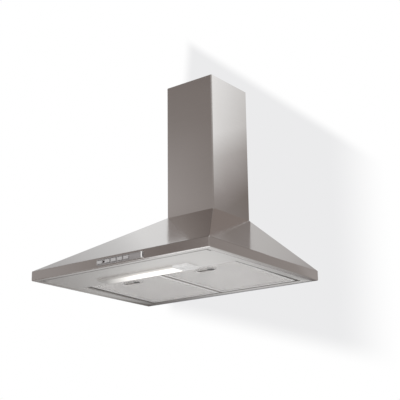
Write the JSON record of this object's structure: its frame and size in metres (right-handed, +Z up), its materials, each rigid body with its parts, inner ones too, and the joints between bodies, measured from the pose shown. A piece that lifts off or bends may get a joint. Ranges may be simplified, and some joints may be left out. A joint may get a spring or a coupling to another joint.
{
  "type": "chimney range hood",
  "caption": "Wall-mounted kitchen extractor hood: steel pyramid canopy with grease filters, lamp and push buttons, blower inside, telescopic chimney cover above.",
  "frame": {"origin": "on the wall plane, at the middle of the hood's lower edge", "axes": "+X to the right when facing the hood, +Y into the wall, +Z up"},
  "size_m": [0.598, 0.4894, 0.6112],
  "materials": {
    "stainless": "brushed stainless sheet",
    "panel_steel": "satin stainless sheet",
    "zinc_steel": "zinc-coated sheet",
    "fasteners": "zinc-coated screws",
    "filter_aluminium": "mill-finish aluminium",
    "handle_metal": "pressed aluminium",
    "catch_steel": "bright spring steel",
    "opal": "translucent opal",
    "grey_plastic": "fine satin",
    "strip_plastic": "silver-grey satin",
    "button_plastic": "silver-grey satin",
    "pilot_lens": "dark tinted lens",
    "white_plastic": "moulded",
    "bulb_glass": "frosted glass",
    "black_plastic": "moulded",
    "motor_steel": "grey paint",
    "shaft_steel": "ground steel",
    "rubber": "soft rubber"
  },
  "bodies": {
    "hood": {"canopy_shell": "stainless", "lower_chimney": "stainless", "underside_panel": "panel_steel", "back_panel": "zinc_steel", "blower_plate": "zinc_steel", "lamp_tray": "zinc_steel", "capacitor_clip": "zinc_steel", "motor_mount": "zinc_steel", "inlet_guard": "zinc_steel", "plate_screws": "fasteners", "casing_screws": "fasteners", "motor_screws": "fasteners", "lamp_cover": "opal", "lamp_grip": "grey_plastic", "control_strip": "strip_plastic", "pilot_light": "pilot_lens", "lamp_holder_left": "white_plastic", "lamp_holder_right": "white_plastic", "terminal_block": "white_plastic", "capacitor": "white_plastic", "lamp_bulb_left": "bulb_glass", "lamp_bulb_right": "bulb_glass", "casing_left": "black_plastic", "casing_right": "black_plastic", "outlet_collar": "black_plastic", "junction_box": "black_plastic", "junction_lid": "black_plastic", "switch_block": "black_plastic", "motor_case": "motor_steel", "damper_spindle": "shaft_steel", "motor_grommets": "rubber", "cable_gland": "rubber", "motor_lead": "rubber", "lamp_lead": "rubber", "switch_lead": "rubber"},
    "upper_cover": {"upper_chimney": "stainless", "chimney_bracket": "zinc_steel"},
    "rotor": {"impeller": "black_plastic", "motor_shaft": "shaft_steel"},
    "flap_front": {"damper_flap_front": "black_plastic"},
    "flap_rear": {"damper_flap_rear": "black_plastic"},
    "lamp_button": {"button_lamp": "button_plastic"},
    "stop_button": {"button_stop": "button_plastic"},
    "speed_1_button": {"button_speed_1": "button_plastic"},
    "speed_2_button": {"button_speed_2": "button_plastic"},
    "speed_3_button": {"button_speed_3": "button_plastic"},
    "filter_left": {"filter_frame_left": "filter_aluminium", "filter_mesh_left": "filter_aluminium", "filter_pack_left": "filter_aluminium", "filter_handle_left": "handle_metal"},
    "catch_left": {"filter_catch_left": "catch_steel"},
    "filter_right": {"filter_frame_right": "filter_aluminium", "filter_mesh_right": "filter_aluminium", "filter_pack_right": "filter_aluminium", "filter_handle_right": "handle_metal"},
    "catch_right": {"filter_catch_right": "catch_steel"}
  },
  "joints": [
    {"name": "upper_cover_slide", "type": "slide", "parent": "hood", "child": "upper_cover", "axis": [0, 0, 1], "range_m": [0, 0.33]},
    {"name": "rotor_spin", "type": "hinge", "parent": "hood", "child": "rotor", "pos_m": [0, -0.112, 0.116], "axis": [1, 0, 0], "continuous": true},
    {"name": "flap_front_hinge", "type": "hinge", "parent": "hood", "child": "flap_front", "pos_m": [0, -0.072, 0.2312], "axis": [-1, 0, 0], "range_deg": [0, 75]},
    {"name": "flap_rear_hinge", "type": "hinge", "parent": "hood", "child": "flap_rear", "pos_m": [0, -0.072, 0.2312], "axis": [1, 0, 0], "range_deg": [0, 75]},
    {"name": "lamp_press", "type": "slide", "parent": "hood", "child": "lamp_button", "axis": [0, 1, 0], "range_m": [0, 0.002], "stiffness_N_per_m": 300, "springref_m": -0.002},
    {"name": "stop_press", "type": "slide", "parent": "hood", "child": "stop_button", "axis": [0, 1, 0], "range_m": [0, 0.002], "stiffness_N_per_m": 300, "springref_m": -0.002},
    {"name": "speed_1_press", "type": "slide", "parent": "hood", "child": "speed_1_button", "axis": [0, 1, 0], "range_m": [0, 0.002], "stiffness_N_per_m": 300, "springref_m": -0.002},
    {"name": "speed_2_press", "type": "slide", "parent": "hood", "child": "speed_2_button", "axis": [0, 1, 0], "range_m": [0, 0.002], "stiffness_N_per_m": 300, "springref_m": -0.002},
    {"name": "speed_3_press", "type": "slide", "parent": "hood", "child": "speed_3_button", "axis": [0, 1, 0], "range_m": [0, 0.002], "stiffness_N_per_m": 300, "springref_m": -0.002},
    {"name": "filter_left_hinge", "type": "hinge", "parent": "hood", "child": "filter_left", "pos_m": [-0.1265, -0.025, 0.002], "axis": [1, 0, 0], "range_deg": [0, 70]},
    {"name": "catch_left_slide", "type": "slide", "parent": "filter_left", "child": "catch_left", "axis": [0, -0.9998, 0.0201], "range_m": [0, 0.005]},
    {"name": "filter_right_hinge", "type": "hinge", "parent": "hood", "child": "filter_right", "pos_m": [0.1265, -0.025, 0.002], "axis": [1, 0, 0], "range_deg": [0, 70]},
    {"name": "catch_right_slide", "type": "slide", "parent": "filter_right", "child": "catch_right", "axis": [0, -0.9998, 0.0201], "range_m": [0, 0.005]}
  ]
}
